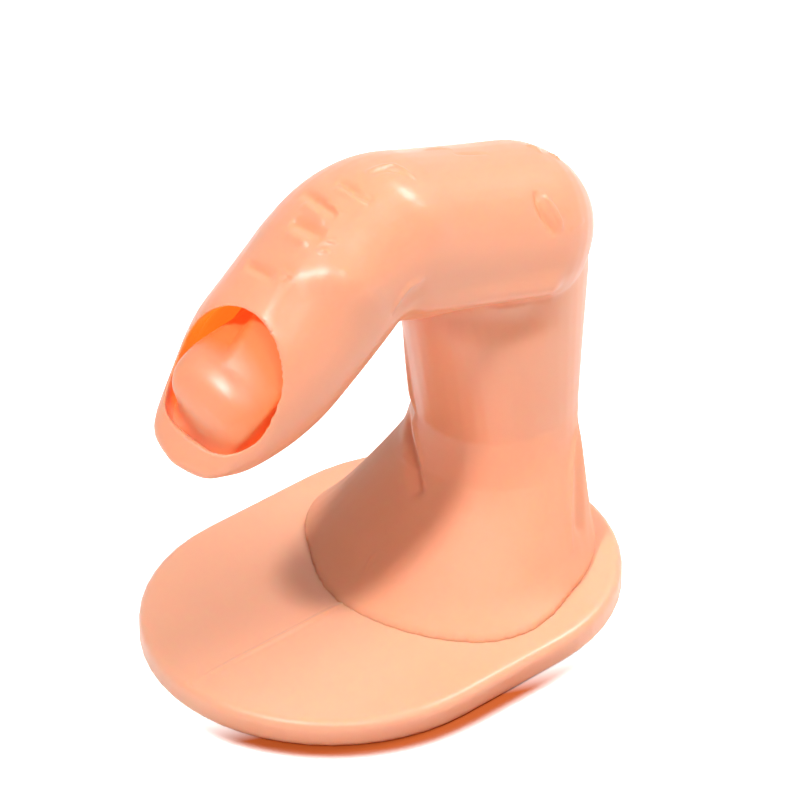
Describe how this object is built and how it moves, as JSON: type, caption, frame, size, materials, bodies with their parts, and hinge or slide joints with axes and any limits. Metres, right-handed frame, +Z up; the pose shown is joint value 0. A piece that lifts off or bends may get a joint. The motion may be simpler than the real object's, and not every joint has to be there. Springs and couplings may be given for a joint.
{
  "type": "nail practice finger",
  "caption": "Soft vinyl practice finger, bent at both knuckles, with a flared foot on an obround plate and an open nail window that holds a rounded nail bed.",
  "frame": {"origin": "middle of the base plate's flat underside", "axes": "+Z up, the finger points to -Y, X across the plate"},
  "size_m": [0.0448, 0.0605, 0.0598],
  "materials": {
    "soft_vinyl": "satin, soft and slightly translucent skin-coloured vinyl",
    "plate_vinyl": "satin skin-coloured vinyl",
    "nail_bed_vinyl": "satin skin-coloured vinyl",
    "core_plastic": "plain natural plastic, hidden inside"
  },
  "bodies": {
    "root": {"base_plate": "plate_vinyl", "finger_skin": "soft_vinyl", "nail_bed": "nail_bed_vinyl", "core": "core_plastic"}
  },
  "joints": []
}
